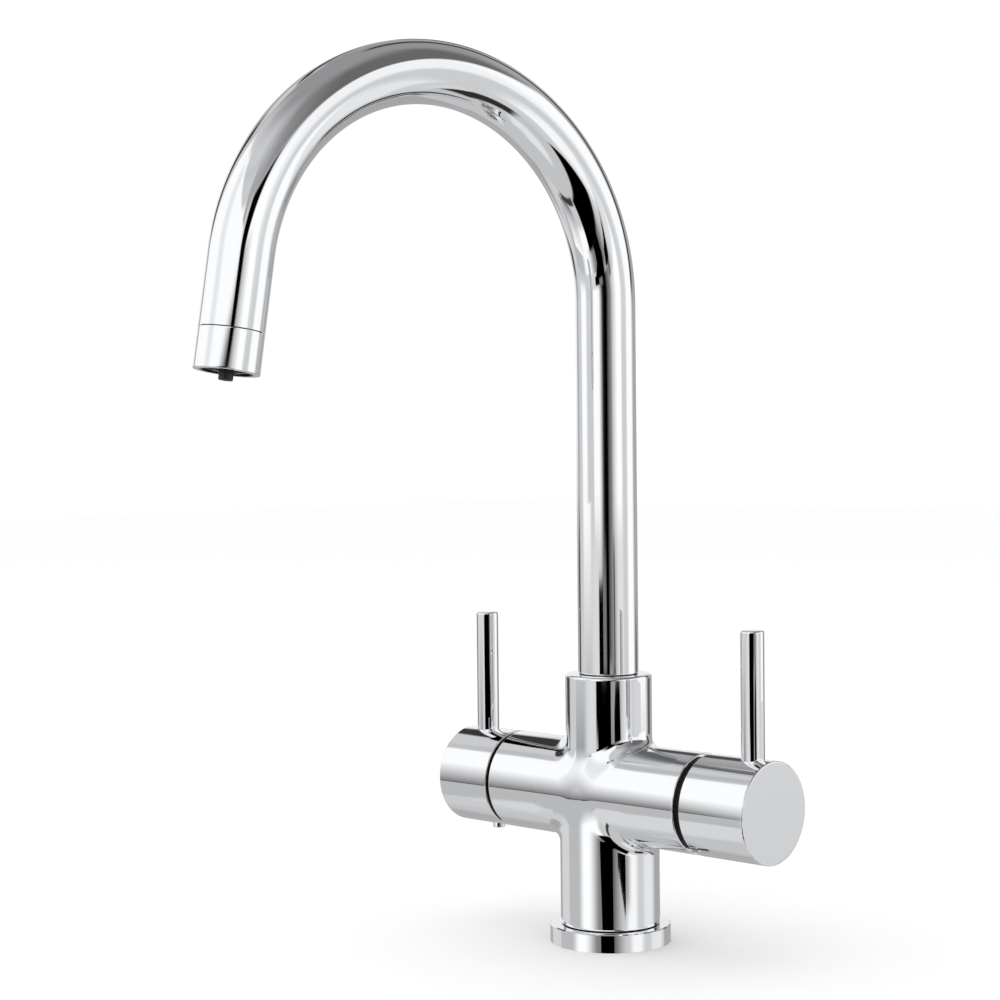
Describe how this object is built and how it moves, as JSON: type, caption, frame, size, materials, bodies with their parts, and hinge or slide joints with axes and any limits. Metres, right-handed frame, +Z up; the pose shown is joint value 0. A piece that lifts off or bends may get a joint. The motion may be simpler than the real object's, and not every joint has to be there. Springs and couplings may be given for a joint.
{
  "type": "kitchen mixer tap",
  "caption": "Chrome kitchen tap with a turning swan-neck spout, upright pin levers on side handles, and a push button and centre nozzle for filtered water.",
  "frame": {"origin": "centre of the base's underside, on the worktop's surface", "axes": "+Z up, -Y to the front, handles along X with the filtered-water handle at -X"},
  "size_m": [0.1651, 0.215, 0.4158],
  "materials": {
    "chrome": "polished chrome plate",
    "brass": "machined brass",
    "zinc_steel": "zinc-plated steel",
    "spring_steel": "drawn stainless wire",
    "black_rubber": "moulded nitrile rubber",
    "black_acetal": "moulded acetal",
    "dark_plastic": "moulded plastic, satin",
    "clear_tubing": "extruded food-grade tubing",
    "white_ceramic": "lapped alumina"
  },
  "bodies": {
    "tap_body": {"body_casting": "chrome", "base_flange": "chrome", "base_seal": "black_rubber", "mounting_shank": "brass", "deck_gasket": "black_rubber", "deck_washer": "zinc_steel", "back_nut": "brass", "spout_stop_screw": "zinc_steel", "tube_seat_ring": "black_rubber", "left_valve_body": "brass", "left_valve_nut": "brass", "left_valve_ring": "black_rubber", "left_fixed_disc": "white_ceramic", "left_seat_seal": "black_rubber", "left_glide_ring": "black_acetal", "right_valve_body": "brass", "right_valve_nut": "brass", "right_valve_ring": "black_rubber", "right_fixed_disc": "white_ceramic", "right_seat_seal": "black_rubber", "right_glide_ring": "black_acetal"},
    "spout": {"spout_tube": "chrome", "spout_tail": "brass", "spout_rings": "black_rubber", "spout_washer": "black_acetal", "filter_tube": "clear_tubing", "outlet_adapter": "brass", "aerator_sleeve": "chrome", "aerator_housing": "dark_plastic", "aerator_mesh": "dark_plastic", "aerator_seal": "black_rubber", "outlet_nozzle": "dark_plastic"},
    "left_handle_set": {"left_handle": "chrome", "left_lever": "chrome", "left_spindle": "brass", "left_moving_disc": "white_ceramic", "left_spindle_ring": "black_rubber", "button_carrier": "black_acetal", "button_spring": "spring_steel"},
    "button": {"safety_button": "chrome"},
    "right_handle_set": {"right_handle": "chrome", "right_lever": "chrome", "right_spindle": "brass", "right_moving_disc": "white_ceramic", "right_spindle_ring": "black_rubber"}
  },
  "joints": [
    {"name": "spout_swivel", "type": "hinge", "parent": "tap_body", "child": "spout", "pos_m": [0, 0, 0.1], "axis": [0, 0, 1], "continuous": true},
    {"name": "left_handle_turn", "type": "hinge", "parent": "tap_body", "child": "left_handle_set", "pos_m": [-0.06, 0, 0.0622], "axis": [1, 0, 0], "range_deg": [0, 90]},
    {"name": "right_handle_turn", "type": "hinge", "parent": "tap_body", "child": "right_handle_set", "pos_m": [0.06, 0, 0.0622], "axis": [1, 0, 0], "range_deg": [0, 120]},
    {"name": "safety_button_press", "type": "slide", "parent": "left_handle_set", "child": "button", "axis": [0, 0, 1], "range_m": [0, 0.0012], "stiffness_N_per_m": 400, "springref_m": -0.0015, "deforming": ["button_spring"]}
  ]
}
